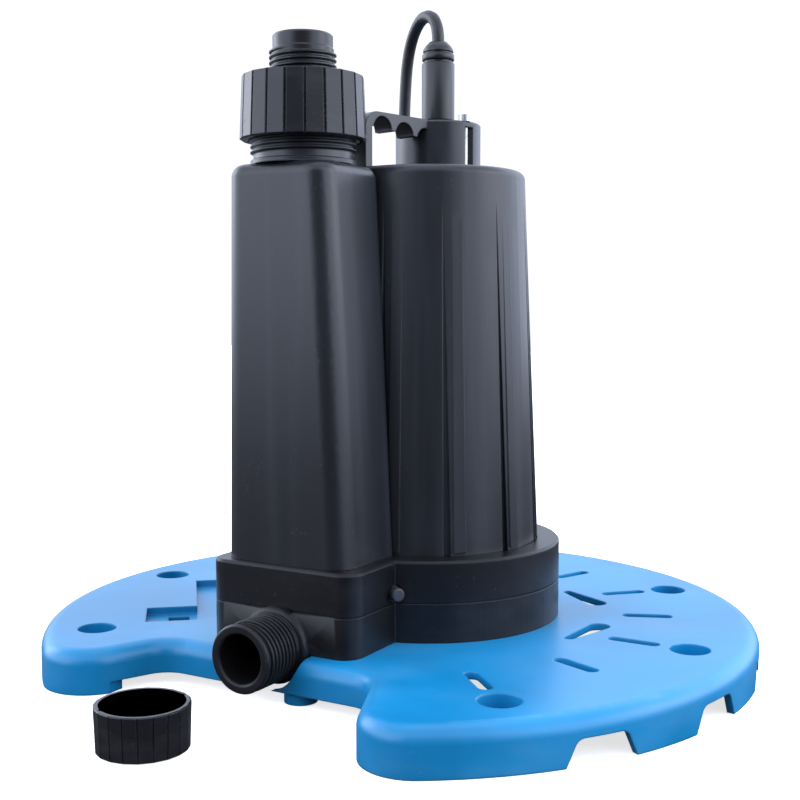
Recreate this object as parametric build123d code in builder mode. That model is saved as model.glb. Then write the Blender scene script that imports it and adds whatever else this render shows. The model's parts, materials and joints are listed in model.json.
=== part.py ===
"""Submersible utility pump on a round base plate, as an assembly of separate pieces.

Millimetres. The origin is the motor axis on the floor, +Z is up and -Y is the way the side outlet points.
"""

from math import cos, pi, radians, sin, tan
import os

from build123d import *

os.makedirs("parts", exist_ok=True)

# ---------------------------------------------------------------- driving dimensions
PLATE_R = 153.5            # round base plate, about 12 inches across
PLATE_C = (-10.0, -6.5)    # its centre, seen from the motor axis
PLATE_TOP = 17.5
PLATE_WALL = 3.0
EDGE_R = 6.0
FOOT_R = 131.0             # circle of the hollow feet
FOOT_ANGLES = range(-45, 226, 45)
OPENING_R = 45.0           # centre opening that the strainer fills

CASING_R = 58.0            # round casing, two rings with a seam between them
SEAM = 33.5
GASKET = 0.5
CASING_TOP = 50.6
CHAMBER_R = 41.0           # pump chamber
FLOOR = 3.5                # floor of the lower casing
BLOCK_X = (-52.5, 16.0)    # square block at the front, which carries the riser
BLOCK_Y = -88.0
BLOCK_WALL = 4.5
OUTLET_X = -18.0           # middle of the block and axis of the side outlet

SPIGOT_Z = 20.2
SPIGOT_END = -113.0
HOSE_R = 13.4              # 3/4 inch garden-hose thread, over its crests
HOSE_BORE = 9.5

HOUSING_R = 48.0           # motor housing at the casing's top
HOUSING_TOP_R = 41.8
POCKET_Z = 38.5            # floor of the pocket that the housing stands in
HOUSING_Z = (39.3, 208.5)
HOUSING_WALL = 4.0
GROOVES = 11

RISER_TOP = 207.0
NECK = (-22.5, -62.0)      # axis of the union on top of the riser
NECK_R = 21.08             # 1 1/4 inch pipe thread
NUT_Z = (216.8, 242.0)
NUT_R = (25.4, 24.3)
THREAD_PITCH = 25.4 / 11.5

DRUM_C = (-5.5, 19.5)      # cord-entry drum on top of the motor housing
DRUM_R = 19.0
DRUM_TOP = 231.8
HANDLE_ANGLE = -103.0
GLAND_R = 7.3
GLAND_TOP = 262.0

SHAFT_R = 4.0
RUN_FIT = 0.03             # radial clearance of a running fit
GAP = 0.3                  # clearance between pieces that move past each other
CORD_D = 5.5
COIL_C = (-124.0, 186.0)
COIL_MID_R = 44.0
COIL_SIDE = 28.0

PLATE_PLANE = Plane((*PLATE_C, 0))


def save(piece, name):
    """Labels a finished piece and writes it as its own STEP file."""
    piece.label = name
    export_step(piece, f"parts/{name}.step")


def turned(angle, z=0.0, centre=(0.0, 0.0)):
    """A level plane whose X axis points at an angle in degrees."""
    return Plane(origin=(*centre, z), x_dir=(cos(radians(angle)), sin(radians(angle)), 0), z_dir=(0, 0, 1))


def upright(angle, radius, centre=(0.0, 0.0)):
    """An upright plane that faces outwards at an angle, at a radius from a centre."""
    return Plane(origin=(*polar(radius, angle, centre), 0), x_dir=(-sin(radians(angle)), cos(radians(angle)), 0),
                 z_dir=(cos(radians(angle)), sin(radians(angle)), 0))


def polar(radius, angle, centre=(0.0, 0.0)):
    """A point at a radius and an angle in degrees about a centre."""
    return (centre[0] + radius * cos(radians(angle)), centre[1] + radius * sin(radians(angle)))


# ---------------------------------------------------------------- base plate
def plate_outline():
    """The plate's outline: a disc with a flared bite in front of the side outlet."""
    inner_y, half_in, half_out, depth = -97.5, 48.0, 80.0, 75.0
    with BuildSketch() as outline:
        with Locations(PLATE_C):
            Circle(PLATE_R)
        with BuildLine():
            Polyline(
                (OUTLET_X - half_in, inner_y),
                (OUTLET_X + half_in, inner_y),
                (OUTLET_X + half_out, inner_y - depth),
                (OUTLET_X - half_out, inner_y - depth),
                close=True,
            )
        make_face(mode=Mode.SUBTRACT)
        inner = outline.vertices().filter_by(lambda v: abs(v.Y - inner_y) < 0.01)
        fillet(inner, 12)
        outer = outline.vertices().filter_by(lambda v: v.Y < -125)
        fillet(outer, 20)
    return outline.sketch


OUTLINE = plate_outline()
NOTCH_STEP, NOTCH_COUNT = 22.5, 12

with BuildPart() as base_plate:
    with BuildSketch():
        add(OUTLINE)
    extrude(amount=PLATE_TOP)
    fillet(base_plate.faces().sort_by(Axis.Z)[-1].edges(), EDGE_R)
    with BuildSketch():
        offset(OUTLINE, -PLATE_WALL)
    extrude(amount=PLATE_TOP - PLATE_WALL, mode=Mode.SUBTRACT)
    # the skirt stands a little off the floor along the bite
    with BuildSketch():
        with Locations((OUTLET_X, -117)):
            Rectangle(116, 54)
    extrude(amount=4.5, mode=Mode.SUBTRACT)
    # hollow feet: round recesses from above, standing on the floor
    for angle in FOOT_ANGLES:
        with BuildSketch(PLATE_PLANE):
            with Locations(polar(FOOT_R, angle)):
                Circle(11.5)
        extrude(amount=PLATE_TOP - 1)
        with BuildSketch(Plane((*PLATE_C, 2.5))):
            with Locations(polar(FOOT_R, angle)):
                Circle(8.0)
        extrude(amount=PLATE_TOP, mode=Mode.SUBTRACT)
    with BuildSketch():
        with Locations((OUTLET_X + 12, -90)):
            Circle(6.5)
    extrude(amount=PLATE_TOP - 1)
    # notches in the skirt, wider at the floor
    for k in range(NOTCH_COUNT):
        angle = -33.75 + NOTCH_STEP * k
        at = upright(angle, PLATE_R - 9, PLATE_C)
        with BuildSketch(at) as notch:
            with BuildLine():
                Polyline((-15, -1), (15, -1), (10, 9.5), (-10, 9.5), close=True)
            make_face()
            fillet(notch.vertices().filter_by(lambda v: v.Y > 5), 4)
        extrude(amount=20, mode=Mode.SUBTRACT)
    # radial slots round the plate
    for k in range(10):
        with BuildSketch(PLATE_PLANE.offset(PLATE_TOP - 8)):
            with Locations(polar(108, -45 + NOTCH_STEP * k)):
                SlotOverall(21.5, 5.6, rotation=-45 + NOTCH_STEP * k)
        extrude(amount=20, mode=Mode.SUBTRACT)
    # pairs of tapered slots that lean towards each other
    for middle in (22.5, 112.5):
        for side in (-1, 1):
            with BuildSketch(PLATE_PLANE.offset(PLATE_TOP - 8)) as tapered:
                with Locations(polar(84, middle + side * 28)):
                    Circle(2.2)
                with Locations(polar(89, middle + side * 13)):
                    Circle(4.6)
                make_hull()
            extrude(amount=20, mode=Mode.SUBTRACT)
    # accessory pocket at the left: a shallow floor, a channel and its window
    pocket = turned(-140, PLATE_TOP - 3.2, PLATE_C)
    with BuildSketch(pocket.offset(-1.8)):
        with Locations((78, -33)):
            Rectangle(26, 76)
        with Locations((98, -7)):
            Rectangle(30, 28)
    extrude(amount=3)
    with BuildSketch(pocket):
        with Locations((78, -33)):
            Rectangle(22, 72)
        with Locations((98, -7)):
            Rectangle(26, 24)
    extrude(amount=10, mode=Mode.SUBTRACT)
    with BuildSketch(pocket.offset(-5)):
        with Locations((97, -5)):
            Rectangle(9, 17)
    extrude(amount=10, mode=Mode.SUBTRACT)
    # centre opening, and the way for the side outlet
    with BuildSketch():
        Circle(OPENING_R)
    extrude(amount=PLATE_TOP, mode=Mode.SUBTRACT)
    with BuildSketch(Plane.XZ.offset(66)):
        with Locations((OUTLET_X, SPIGOT_Z)):
            Circle(16)
    extrude(amount=40, mode=Mode.SUBTRACT)
    BASE_SCREWS = [polar(51.5, angle) for angle in (35, 85, 135, 185)]
    with BuildSketch():
        with Locations(*BASE_SCREWS):
            Circle(2.1)
    extrude(amount=PLATE_TOP, mode=Mode.SUBTRACT)
save(base_plate.part, "base_plate")
print("base plate", base_plate.part.is_valid, len(base_plate.part.solids()), base_plate.part.bounding_box())


# ---------------------------------------------------------------- casings
def casing_outline(inset=0.0):
    """Outline of both casings: the round part and the square block with rounded corners."""
    with BuildSketch() as block:
        with BuildLine():
            Polyline((BLOCK_X[0], 0), (BLOCK_X[0], BLOCK_Y), (BLOCK_X[1], BLOCK_Y), (BLOCK_X[1], 0), close=True)
        make_face()
        fillet(block.vertices().group_by(Axis.Y)[0], 8)
    with BuildSketch() as outline:
        Circle(CASING_R)
        add(block.sketch)
        if inset:
            offset(amount=-inset)
    return outline.sketch


def block_cavity(round_keep):
    """Outline of the water way in the block, clear of a round part of the given radius."""
    with BuildSketch() as cavity:
        with BuildLine():
            Polyline(
                (BLOCK_X[0] + BLOCK_WALL, -38), (BLOCK_X[0] + BLOCK_WALL, BLOCK_Y + BLOCK_WALL),
                (BLOCK_X[1] - BLOCK_WALL, BLOCK_Y + BLOCK_WALL), (BLOCK_X[1] - BLOCK_WALL, -38), close=True,
            )
        make_face()
        if round_keep:
            Circle(round_keep, mode=Mode.SUBTRACT)
        with Locations(*FRONT_SCREWS):
            Circle(4.6, mode=Mode.SUBTRACT)
    return cavity.sketch


RING_SCREWS = [polar(53, angle) for angle in (10, 60, 110, 160, 205)]
FRONT_SCREWS = [(BLOCK_X[0] + 6.5, BLOCK_Y + 6.5), (BLOCK_X[1] - 6.5, BLOCK_Y + 6.5)]
CASING_SCREWS = RING_SCREWS + FRONT_SCREWS
INTAKE_R = 14.0

with BuildPart() as lower_casing:
    with BuildSketch(Plane.XY.offset(PLATE_TOP)):
        add(casing_outline())
    extrude(amount=SEAM - PLATE_TOP)
    # the side outlet's tube runs back under the block, into the water way
    with BuildSketch(Plane.XZ.offset(72)):
        with Locations((OUTLET_X, SPIGOT_Z)):
            Circle(13.2)
    extrude(amount=20)
    with BuildSketch(Plane.XZ.offset(-BLOCK_Y)):
        with Locations((OUTLET_X, SPIGOT_Z)):
            Circle(15)
    extrude(amount=3.5)
    with BuildSketch(Plane.XZ.offset(90)):
        with Locations((OUTLET_X, SPIGOT_Z)):
            Circle(HOSE_R)
    extrude(amount=-SPIGOT_END - 90)
    chamfer(lower_casing.edges().filter_by(GeomType.CIRCLE).sort_by(Axis.Y)[0], 0.8)
    with BuildSketch(Plane.XY.offset(PLATE_TOP + FLOOR)):
        Circle(CHAMBER_R)
    extrude(amount=20, mode=Mode.SUBTRACT)
    with BuildSketch(Plane.XY.offset(PLATE_TOP + FLOOR)):
        add(block_cavity(0))
    extrude(amount=20, mode=Mode.SUBTRACT)
    with BuildSketch(Plane.XZ.offset(75)):
        with Locations((OUTLET_X, SPIGOT_Z)):
            Circle(HOSE_BORE)
    extrude(amount=50, mode=Mode.SUBTRACT)
    with BuildSketch():
        Circle(INTAKE_R)
    extrude(amount=30, mode=Mode.SUBTRACT)
    with BuildSketch():
        with Locations(*CASING_SCREWS):
            Circle(2.1)
    extrude(amount=SEAM + 1, mode=Mode.SUBTRACT)
    with BuildSketch(Plane.XY.offset(PLATE_TOP)):
        with Locations(*CASING_SCREWS):
            Circle(3.8)
    extrude(amount=3.2, mode=Mode.SUBTRACT)
    with BuildSketch(Plane.XY.offset(PLATE_TOP)):
        with Locations(*BASE_SCREWS):
            Circle(1.5)
    extrude(amount=12, mode=Mode.SUBTRACT)
save(lower_casing.part, "lower_casing")

with BuildPart() as casing_gasket:
    with BuildSketch(Plane.XY.offset(SEAM)):
        add(casing_outline(0.7))
        Circle(CHAMBER_R + 2, mode=Mode.SUBTRACT)
        add(block_cavity(0), mode=Mode.SUBTRACT)
        with Locations(*CASING_SCREWS):
            Circle(2.1, mode=Mode.SUBTRACT)
    extrude(amount=GASKET)
save(casing_gasket.part, "casing_gasket")

UPPER_Z = SEAM + GASKET
SEAL_BORE = 11.0
VENT_HEAD_R = 2.8
VENT = Plane(origin=(15.5, -56.5, 37.9), x_dir=(sin(radians(35)), cos(radians(35)), 0),
             z_dir=(cos(radians(35)), -sin(radians(35)), 0))   # in the corner between block and round part

with BuildPart() as upper_casing:
    with BuildSketch(Plane.XY.offset(UPPER_Z)):
        add(casing_outline())
    extrude(amount=CASING_TOP - UPPER_Z)
    chamfer(upper_casing.faces().sort_by(Axis.Z)[-1].outer_wire().edges(), 0.9)
    with BuildSketch(Plane.XY.offset(POCKET_Z)):
        Circle(HOUSING_R + 0.45)
    extrude(amount=20, mode=Mode.SUBTRACT)
    with BuildSketch(Plane.XY.offset(UPPER_Z)):
        add(block_cavity(52.5))
    extrude(amount=CASING_TOP - 3 - UPPER_Z, mode=Mode.SUBTRACT)
    with BuildSketch(Plane.XY.offset(CASING_TOP - 4)):
        with Locations((-20, -70)):
            RectangleRounded(44, 20, 5)
    extrude(amount=10, mode=Mode.SUBTRACT)
    with BuildSketch(Plane.XY.offset(UPPER_Z)):
        Circle(SEAL_BORE)
    extrude(amount=10, mode=Mode.SUBTRACT)
    with BuildSketch(Plane.XY.offset(UPPER_Z)):
        with Locations(*CASING_SCREWS):
            Circle(1.5)
    extrude(amount=11, mode=Mode.SUBTRACT)
    with BuildSketch(VENT):
        Circle(VENT_HEAD_R + 0.7)
    extrude(amount=12, mode=Mode.SUBTRACT)
    with BuildSketch(VENT.offset(-4)):
        Circle(1.6)
    extrude(amount=5, mode=Mode.SUBTRACT)
save(upper_casing.part, "upper_casing")

with BuildPart() as vent_plug:
    with BuildSketch(VENT.offset(-3.8)):
        Circle(1.6)
    extrude(amount=5)
    with BuildSketch(VENT):
        Circle(VENT_HEAD_R)
    extrude(amount=5.5)
    fillet(vent_plug.faces().sort_by(Axis.Y)[0].edges().sort_by(Axis.Y)[0], 0.9)
save(vent_plug.part, "vent_plug")


def screws(points, head_r, head_z, head_h, shank_r, shank_z):
    """A group of identical screws that point up, heads below."""
    with BuildPart() as group:
        with BuildSketch(Plane.XY.offset(head_z)):
            with Locations(*points):
                Circle(head_r)
        extrude(amount=head_h)
        with BuildSketch(Plane.XY.offset(head_z)):
            with Locations(*points):
                Circle(shank_r)
        extrude(amount=shank_z - head_z)
        with BuildSketch(Plane.XY.offset(head_z)):
            with Locations(*points):
                RegularPolygon(head_r * 0.5, 6)
        extrude(amount=head_h * 0.6, mode=Mode.SUBTRACT)
    return group.part


save(screws(CASING_SCREWS, 3.5, PLATE_TOP + 0.1, 3.1, 1.5, SEAM + GASKET + 9.5), "casing_screws")
save(screws(BASE_SCREWS, 3.8, PLATE_TOP - PLATE_WALL - 2.8, 2.8, 1.5, PLATE_TOP + 11), "base_screws")

# ---------------------------------------------------------------- intake strainer
STRAINER_R = 44.6
with BuildPart() as intake_strainer:
    with BuildSketch():
        Circle(STRAINER_R)
    extrude(amount=PLATE_TOP)
    with BuildSketch(Plane.XY.offset(2.5)):
        Circle(STRAINER_R - 2.6)
    extrude(amount=PLATE_TOP, mode=Mode.SUBTRACT)
    for k in range(24):
        with BuildSketch(upright(15 * k + 7.5, STRAINER_R - 6)):
            with Locations((0, 8)):
                Rectangle(4.4, 9)
        extrude(amount=10, mode=Mode.SUBTRACT)
    # the front of the rim leaves room for the side outlet's tube, which is further out
    chamfer(intake_strainer.faces().sort_by(Axis.Z)[0].edges(), 0.8)
save(intake_strainer.part, "intake_strainer")

# ---------------------------------------------------------------- pump end of the motor
IMPELLER_Z = (22.4, 30.4)
NUT_BOTTOM = 18.0
SHAFT_TOP = 151.0

with BuildPart() as motor_shaft:
    with BuildSketch(Plane.XY.offset(NUT_BOTTOM + 0.6)):
        Circle(3.0)
    extrude(amount=5)
    with BuildSketch(Plane.XY.offset(IMPELLER_Z[0] + 0.2)):
        Circle(SHAFT_R)
    extrude(amount=SHAFT_TOP - IMPELLER_Z[0] - 0.2)
    chamfer(motor_shaft.faces().sort_by(Axis.Z)[-1].edges(), 0.5)
save(motor_shaft.part, "motor_shaft")

with BuildPart() as impeller:
    with BuildSketch(Plane.XY.offset(IMPELLER_Z[1] - 2.4)):
        Circle(34)
    extrude(amount=2.4)
    with BuildSketch(Plane.XY.offset(IMPELLER_Z[0])):
        Circle(8)
    extrude(amount=IMPELLER_Z[1] - IMPELLER_Z[0])
    for k in range(6):
        with BuildSketch(Plane.XY.offset(IMPELLER_Z[0])):
            with BuildLine():
                ThreePointArc(polar(7, 60 * k), polar(21, 60 * k - 24), polar(33, 60 * k - 58))
                ThreePointArc(polar(33, 60 * k - 54), polar(21, 60 * k - 18), polar(7, 60 * k + 14))
                Line(polar(33, 60 * k - 58), polar(33, 60 * k - 54))
                Line(polar(7, 60 * k), polar(7, 60 * k + 14))
            make_face()
        extrude(amount=IMPELLER_Z[1] - IMPELLER_Z[0] - 2)
    with BuildSketch(Plane.XY.offset(IMPELLER_Z[0] - 1)):
        Circle(SHAFT_R)
    extrude(amount=12, mode=Mode.SUBTRACT)
save(impeller.part, "impeller")

with BuildPart() as impeller_nut:
    with BuildSketch(Plane.XY.offset(NUT_BOTTOM)):
        RegularPolygon(5.5, 6)
        Circle(3.0, mode=Mode.SUBTRACT)
    extrude(amount=IMPELLER_Z[0] - NUT_BOTTOM)
save(impeller_nut.part, "impeller_nut")

with BuildPart() as seal_seat:
    with BuildSketch(Plane.XY.offset(UPPER_Z)):
        Circle(SEAL_BORE)
        Circle(6.0, mode=Mode.SUBTRACT)
    extrude(amount=POCKET_Z - UPPER_Z)
save(seal_seat.part, "seal_seat")

with BuildPart() as rotary_seal:
    with BuildSketch(Plane.XY.offset(IMPELLER_Z[1])):
        Circle(8.5)
        Circle(SHAFT_R, mode=Mode.SUBTRACT)
    extrude(amount=UPPER_Z - IMPELLER_Z[1] - 0.1)
    fillet(rotary_seal.faces().sort_by(Axis.Z)[-1].edges().sort_by(SortBy.RADIUS)[-1], 0.8)
save(rotary_seal.part, "rotary_seal")

# ---------------------------------------------------------------- motor
BEARING_R, BEARING_H = 11.0, 7.0
LOWER_BEARING_Z = 43.0
UPPER_BEARING_Z = 141.0
STACK_Z = (75.0, 125.0)
STATOR_R = 38.0
BOLTS = [polar(35.2, angle) for angle in (45, 135, 225, 315)]

with BuildPart() as lower_end_plate:
    with BuildSketch(Plane.XY.offset(POCKET_Z)):
        Circle(43.0)
    extrude(amount=3.5)
    with BuildSketch(Plane.XY.offset(POCKET_Z)):
        Circle(14.5)
    extrude(amount=LOWER_BEARING_Z + BEARING_H - POCKET_Z)
    with BuildSketch(Plane.XY.offset(POCKET_Z)):
        with Locations(*BOLTS):
            Circle(4.5)
    extrude(amount=20)
    with BuildSketch(Plane.XY.offset(LOWER_BEARING_Z)):
        Circle(BEARING_R)
    extrude(amount=30, mode=Mode.SUBTRACT)
    with BuildSketch(Plane.XY.offset(POCKET_Z)):
        Circle(6.0)
    extrude(amount=30, mode=Mode.SUBTRACT)
    with BuildSketch(Plane.XY.offset(POCKET_Z + 4)):
        with Locations(*BOLTS):
            Circle(2.0)
    extrude(amount=30, mode=Mode.SUBTRACT)
save(lower_end_plate.part, "lower_end_plate")


def bearing(z):
    """A ball bearing as one ring, with its grease shields stepped in."""
    with BuildPart() as ring:
        with BuildSketch(Plane.XY.offset(z)):
            Circle(BEARING_R)
            Circle(SHAFT_R + RUN_FIT, mode=Mode.SUBTRACT)
        extrude(amount=BEARING_H)
        for face_z in (z, z + BEARING_H - 0.5):
            with BuildSketch(Plane.XY.offset(face_z)):
                Circle(9.3)
                Circle(6.0, mode=Mode.SUBTRACT)
            extrude(amount=0.5, mode=Mode.SUBTRACT)
    return ring.part


save(bearing(LOWER_BEARING_Z), "lower_bearing")
save(bearing(UPPER_BEARING_Z), "upper_bearing")

with BuildPart() as rotor:
    with BuildSketch(Plane.XY.offset(STACK_Z[0])):
        Circle(21.0)
    extrude(amount=STACK_Z[1] - STACK_Z[0])
    for z in (STACK_Z[0] - 5, STACK_Z[1]):
        with BuildSketch(Plane.XY.offset(z)):
            Circle(20.0)
            Circle(12.0, mode=Mode.SUBTRACT)
        extrude(amount=5)
    with BuildSketch(Plane.XY.offset(STACK_Z[0] - 6)):
        Circle(SHAFT_R)
    extrude(amount=70, mode=Mode.SUBTRACT)
save(rotor.part, "rotor")


def slots(width, inner, outer):
    """Twelve winding slots of the stator core, as a sketch."""
    with BuildSketch(Plane.XY.offset(STACK_Z[0])) as ring:
        with PolarLocations((inner + outer) / 2, 12, start_angle=15):
            Rectangle(outer - inner, width)
    return ring.sketch


with BuildPart() as stator_core:
    with BuildSketch(Plane.XY.offset(STACK_Z[0])):
        Circle(STATOR_R)
        Circle(21.5, mode=Mode.SUBTRACT)
        with Locations(*BOLTS):
            Circle(2.2, mode=Mode.SUBTRACT)
    extrude(amount=STACK_Z[1] - STACK_Z[0])
    with BuildSketch(Plane.XY.offset(STACK_Z[0])):
        add(slots(5.0, 24.0, 31.0))
    extrude(amount=STACK_Z[1] - STACK_Z[0], mode=Mode.SUBTRACT)
save(stator_core.part, "stator_core")

with BuildPart() as stator_windings:
    with BuildSketch(Plane.XY.offset(STACK_Z[0])):
        add(slots(4.6, 24.2, 30.8))
    extrude(amount=STACK_Z[1] - STACK_Z[0])
    for z in (STACK_Z[0] - 10, STACK_Z[1]):
        with BuildSketch(Plane.XY.offset(z)):
            Circle(31.0)
            Circle(23.5, mode=Mode.SUBTRACT)
        extrude(amount=10)
    ends = stator_windings.edges().filter_by(GeomType.CIRCLE)
    fillet(ends.group_by(Axis.Z)[0] + ends.group_by(Axis.Z)[-1], 2.5)
save(stator_windings.part, "stator_windings")

with BuildPart() as upper_bracket:
    with BuildSketch(Plane.XY.offset(UPPER_BEARING_Z)):
        Circle(STATOR_R)
    extrude(amount=3.5)
    with BuildSketch(Plane.XY.offset(UPPER_BEARING_Z)):
        Circle(14.5)
    extrude(amount=BEARING_H + 2)
    with BuildSketch(Plane.XY.offset(UPPER_BEARING_Z)):
        Circle(BEARING_R)
    extrude(amount=BEARING_H, mode=Mode.SUBTRACT)
    with BuildSketch(Plane.XY.offset(UPPER_BEARING_Z)):
        Circle(6.0)
        with Locations(*BOLTS):
            Circle(2.0)
        with PolarLocations(25, 4):
            Circle(6)
    extrude(amount=20, mode=Mode.SUBTRACT)
save(upper_bracket.part, "upper_bracket")

with BuildPart() as motor_bolts:
    with BuildSketch(Plane.XY.offset(POCKET_Z + 6)):
        with Locations(*BOLTS):
            Circle(1.95)
    extrude(amount=UPPER_BEARING_Z + 3.5 - POCKET_Z - 6)
    with BuildSketch(Plane.XY.offset(UPPER_BEARING_Z + 3.5)):
        with Locations(*BOLTS):
            RegularPolygon(3.6, 6)
    extrude(amount=2.8)
save(motor_bolts.part, "motor_bolts")

with BuildPart() as run_capacitor:
    with BuildSketch(Plane.XY.offset(SHAFT_TOP + 3)):
        Circle(16)
    extrude(amount=42)
    fillet(run_capacitor.edges(), 1.5)
save(run_capacitor.part, "run_capacitor")

# ---------------------------------------------------------------- motor housing
HOUSING_SLOPE = (HOUSING_R - HOUSING_TOP_R) / (HOUSING_Z[1] - CASING_TOP)


def housing_radius(z):
    """Outer radius of the tapered motor housing at a height."""
    return HOUSING_R - HOUSING_SLOPE * max(0.0, z - CASING_TOP)


def housing_profile(grow, top):
    """Half outline of the housing, grown by an amount, up to a height."""
    with BuildSketch(Plane.XZ) as half:
        with BuildLine():
            Polyline(
                (0, HOUSING_Z[0]), (HOUSING_R + grow, HOUSING_Z[0]), (HOUSING_R + grow, CASING_TOP),
                (housing_radius(top) + grow, top), (0, top), close=True,
            )
        make_face()
    return half.sketch


GROOVE_TOP = 198.0
DRUM_SCREW_ANGLES = (-16, 104, 190)
DRUM_SCREWS = [polar(16.2, angle, DRUM_C) for angle in DRUM_SCREW_ANGLES]

with BuildPart() as motor_housing:
    add(housing_profile(0, HOUSING_Z[1]))
    revolve(axis=Axis.Z)
    fillet(motor_housing.faces().sort_by(Axis.Z)[-1].edges(), 3.5)
    # upright grooves that start at nothing near the top and widen downwards, each beside a low rib
    for k in range(GROOVES):
        angle = -51.5 + 360 / GROOVES * k
        rib_angle = angle + 6.2
        with BuildSketch(turned(rib_angle, CASING_TOP + 1)):
            with Locations((HOUSING_R - 1.3, 0)):
                Rectangle(3.6, 5.2)
        with BuildSketch(turned(rib_angle, GROOVE_TOP)):
            with Locations((housing_radius(GROOVE_TOP) - 1.9, 0)):
                Rectangle(3.6, 4.4)
        loft()
        with BuildSketch(turned(angle, POCKET_Z + 4)):
            with Locations((HOUSING_R, 0)):
                Rectangle(3.8, 3.2)
        with BuildSketch(turned(angle - 1.6, GROOVE_TOP)):
            with Locations((housing_radius(GROOVE_TOP) + 1, 0)):
                Rectangle(1.9, 0.3)
        loft(mode=Mode.SUBTRACT)
    add(housing_profile(-HOUSING_WALL, HOUSING_Z[1] - HOUSING_WALL))
    revolve(axis=Axis.Z, mode=Mode.SUBTRACT)
    with BuildSketch(Plane.XY.offset(HOUSING_Z[1] - 10)):
        with Locations(DRUM_C):
            Circle(5.2)
        with Locations(*DRUM_SCREWS):
            Circle(1.5)
    extrude(amount=20, mode=Mode.SUBTRACT)
save(motor_housing.part, "motor_housing")

with BuildPart() as housing_gasket:
    with BuildSketch(Plane.XY.offset(POCKET_Z)):
        Circle(HOUSING_R - 0.2)
        Circle(HOUSING_R - HOUSING_WALL, mode=Mode.SUBTRACT)
    extrude(amount=HOUSING_Z[0] - POCKET_Z)
save(housing_gasket.part, "housing_gasket")
print("housing", motor_housing.part.is_valid, len(motor_housing.part.solids()))


# ---------------------------------------------------------------- discharge riser
RISER_WALL = 3.0
RISER_GAP = 1.4            # to the motor housing, so that its ribs clear the riser
RISER_FOOT = ((-48.0, 10.5), (-85.0, -40.0), 10.0)     # x range, y range, corner radius
RISER_HEAD = ((-46.0, 1.5), (-84.0, -40.0), 9.0)
NECK_TOP = 232.0


def riser_section(section, z, inset=0.0):
    """Rounded rectangle of the riser at a height, drawn in by a wall."""
    (x0, x1), (y0, y1), corner = section
    with BuildSketch(Plane.XY.offset(z)) as outline:
        with Locations(((x0 + x1) / 2, (y0 + y1) / 2)):
            RectangleRounded(x1 - x0 - 2 * inset, y1 - y0 - 2 * inset, corner - inset)
    return outline.sketch


with BuildPart() as discharge_riser:
    add(riser_section(RISER_FOOT, CASING_TOP))
    add(riser_section(RISER_HEAD, RISER_TOP))
    loft()
    fillet(discharge_riser.faces().sort_by(Axis.Z)[-1].edges(), 5)
    add(housing_profile(RISER_GAP, RISER_TOP + 2))
    revolve(axis=Axis.Z, mode=Mode.SUBTRACT)
    with BuildPart(mode=Mode.PRIVATE) as water_way:
        add(riser_section(RISER_FOOT, CASING_TOP, RISER_WALL))
        add(riser_section(RISER_HEAD, RISER_TOP - 5, RISER_WALL))
        loft()
        add(housing_profile(RISER_GAP + RISER_WALL, RISER_TOP + 2))
        revolve(axis=Axis.Z, mode=Mode.SUBTRACT)
    add(water_way.part, mode=Mode.SUBTRACT)
    with BuildSketch(Plane.XY.offset(RISER_TOP)):
        with Locations(NECK):
            Circle(NECK_R)
    extrude(amount=NECK_TOP - RISER_TOP)
    with BuildSketch(Plane.XY.offset(RISER_TOP - 8)):
        with Locations(NECK):
            Circle(16.5)
    extrude(amount=60, mode=Mode.SUBTRACT)
save(discharge_riser.part, "discharge_riser")
print("riser", discharge_riser.part.is_valid, len(discharge_riser.part.solids()))

with BuildPart() as adapter_washer:
    with BuildSketch(Plane.XY.offset(NECK_TOP)):
        with Locations(NECK):
            Circle(20.4)
            Circle(15.5, mode=Mode.SUBTRACT)
    extrude(amount=2)
save(adapter_washer.part, "adapter_washer")

FLANGE_Z = (NECK_TOP + 2, 237.6)
HOSE_THREAD_TOP, PILOT_TOP = 252.3, 258.2
with BuildPart() as hose_adapter:
    for z0, z1, radius in ((*FLANGE_Z, 20.4), (FLANGE_Z[1], NUT_Z[1], 13.9), (NUT_Z[1], HOSE_THREAD_TOP, HOSE_R),
                           (HOSE_THREAD_TOP, PILOT_TOP, 12.0)):
        with BuildSketch(Plane.XY.offset(z0)):
            with Locations(NECK):
                Circle(radius)
        extrude(amount=z1 - z0)
    chamfer(hose_adapter.faces().sort_by(Axis.Z)[-1].edges(), 0.6)
    with BuildSketch(Plane.XY.offset(NECK_TOP)):
        with Locations(NECK):
            Circle(HOSE_BORE)
    extrude(amount=40, mode=Mode.SUBTRACT)
save(hose_adapter.part, "hose_adapter")

with BuildPart() as union_nut:
    for z, radius in ((NUT_Z[0], NUT_R[0]), (NUT_Z[1], NUT_R[1])):
        with BuildSketch(Plane.XY.offset(z)):
            with Locations(NECK):
                RegularPolygon(radius, 20)
    loft()
    with BuildSketch(Plane.XY.offset(NUT_Z[0])):
        with Locations(NECK):
            Circle(NECK_R + 0.08)
    extrude(amount=FLANGE_Z[1] + GAP - NUT_Z[0], mode=Mode.SUBTRACT)
    with BuildSketch(Plane.XY.offset(NUT_Z[0])):
        with Locations(NECK):
            Circle(14.3)
    extrude(amount=40, mode=Mode.SUBTRACT)
save(union_nut.part, "union_nut")

# ---------------------------------------------------------------- loose outlet cap, on the floor
CAP_C = (-25.0, -158.0)
CAP_H, CAP_FLOOR = 16.0, 3.0
with BuildPart() as outlet_cap:
    for z, radius in ((0, 16.4), (CAP_H, 17.0)):
        with BuildSketch(Plane.XY.offset(z)):
            with Locations(CAP_C):
                Circle(radius)
    loft()
    with BuildSketch(Plane.XY.offset(CAP_FLOOR)):
        with Locations(CAP_C):
            Circle(HOSE_R + 0.1)
    extrude(amount=CAP_H, mode=Mode.SUBTRACT)
save(outlet_cap.part, "outlet_cap")

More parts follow.
